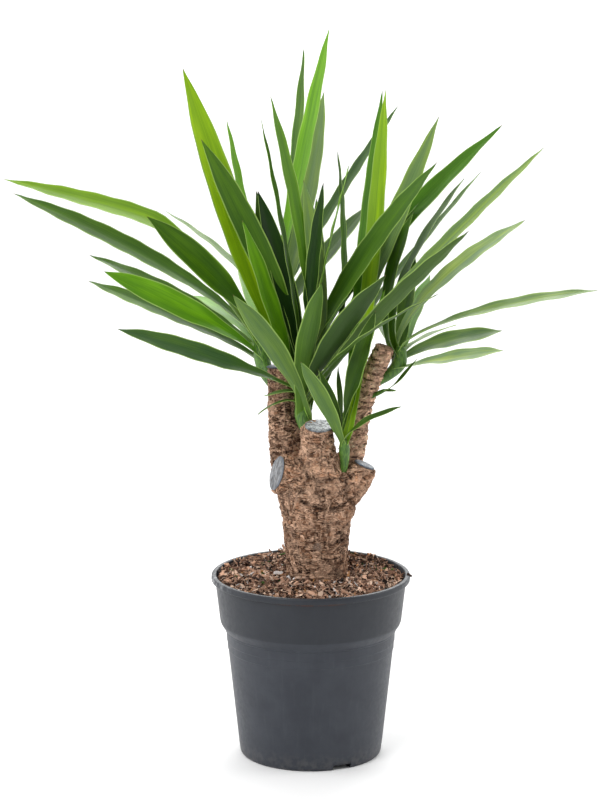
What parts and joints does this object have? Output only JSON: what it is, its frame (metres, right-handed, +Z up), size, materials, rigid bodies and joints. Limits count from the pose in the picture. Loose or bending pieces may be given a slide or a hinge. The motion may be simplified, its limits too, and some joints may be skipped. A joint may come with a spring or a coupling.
{
  "type": "potted yucca plant",
  "caption": "Branched yucca cane with sawn, waxed stubs and heads of sword-shaped leaves, growing in soil in a plain round plastic nursery pot.",
  "frame": {"origin": "middle of the pot's base, on the surface that it stands on", "axes": "+Z up along the pot's axis, +X to the right and -Y towards the viewer of the picture"},
  "size_m": [0.6265, 0.4066, 0.7681],
  "materials": {
    "pot_plastic": "dark blue-grey moulded plastic, satin",
    "potting_soil": "coarse brown peat and wood chips",
    "yucca_bark": "rough fibrous bark with ring scars",
    "sealing_wax": "weathered pale grey wax",
    "yucca_leaf": "smooth waxy green leaf"
  },
  "bodies": {
    "root": {"pot": "pot_plastic", "soil": "potting_soil", "trunk": "yucca_bark", "wax_cap_left": "sealing_wax", "wax_cap_centre": "sealing_wax", "wax_cap_right": "sealing_wax", "wax_cap_back": "sealing_wax", "leaves_left": "yucca_leaf", "leaves_centre": "yucca_leaf", "leaves_right": "yucca_leaf", "leaves_shoot": "yucca_leaf", "sprout": "yucca_leaf"}
  },
  "joints": []
}
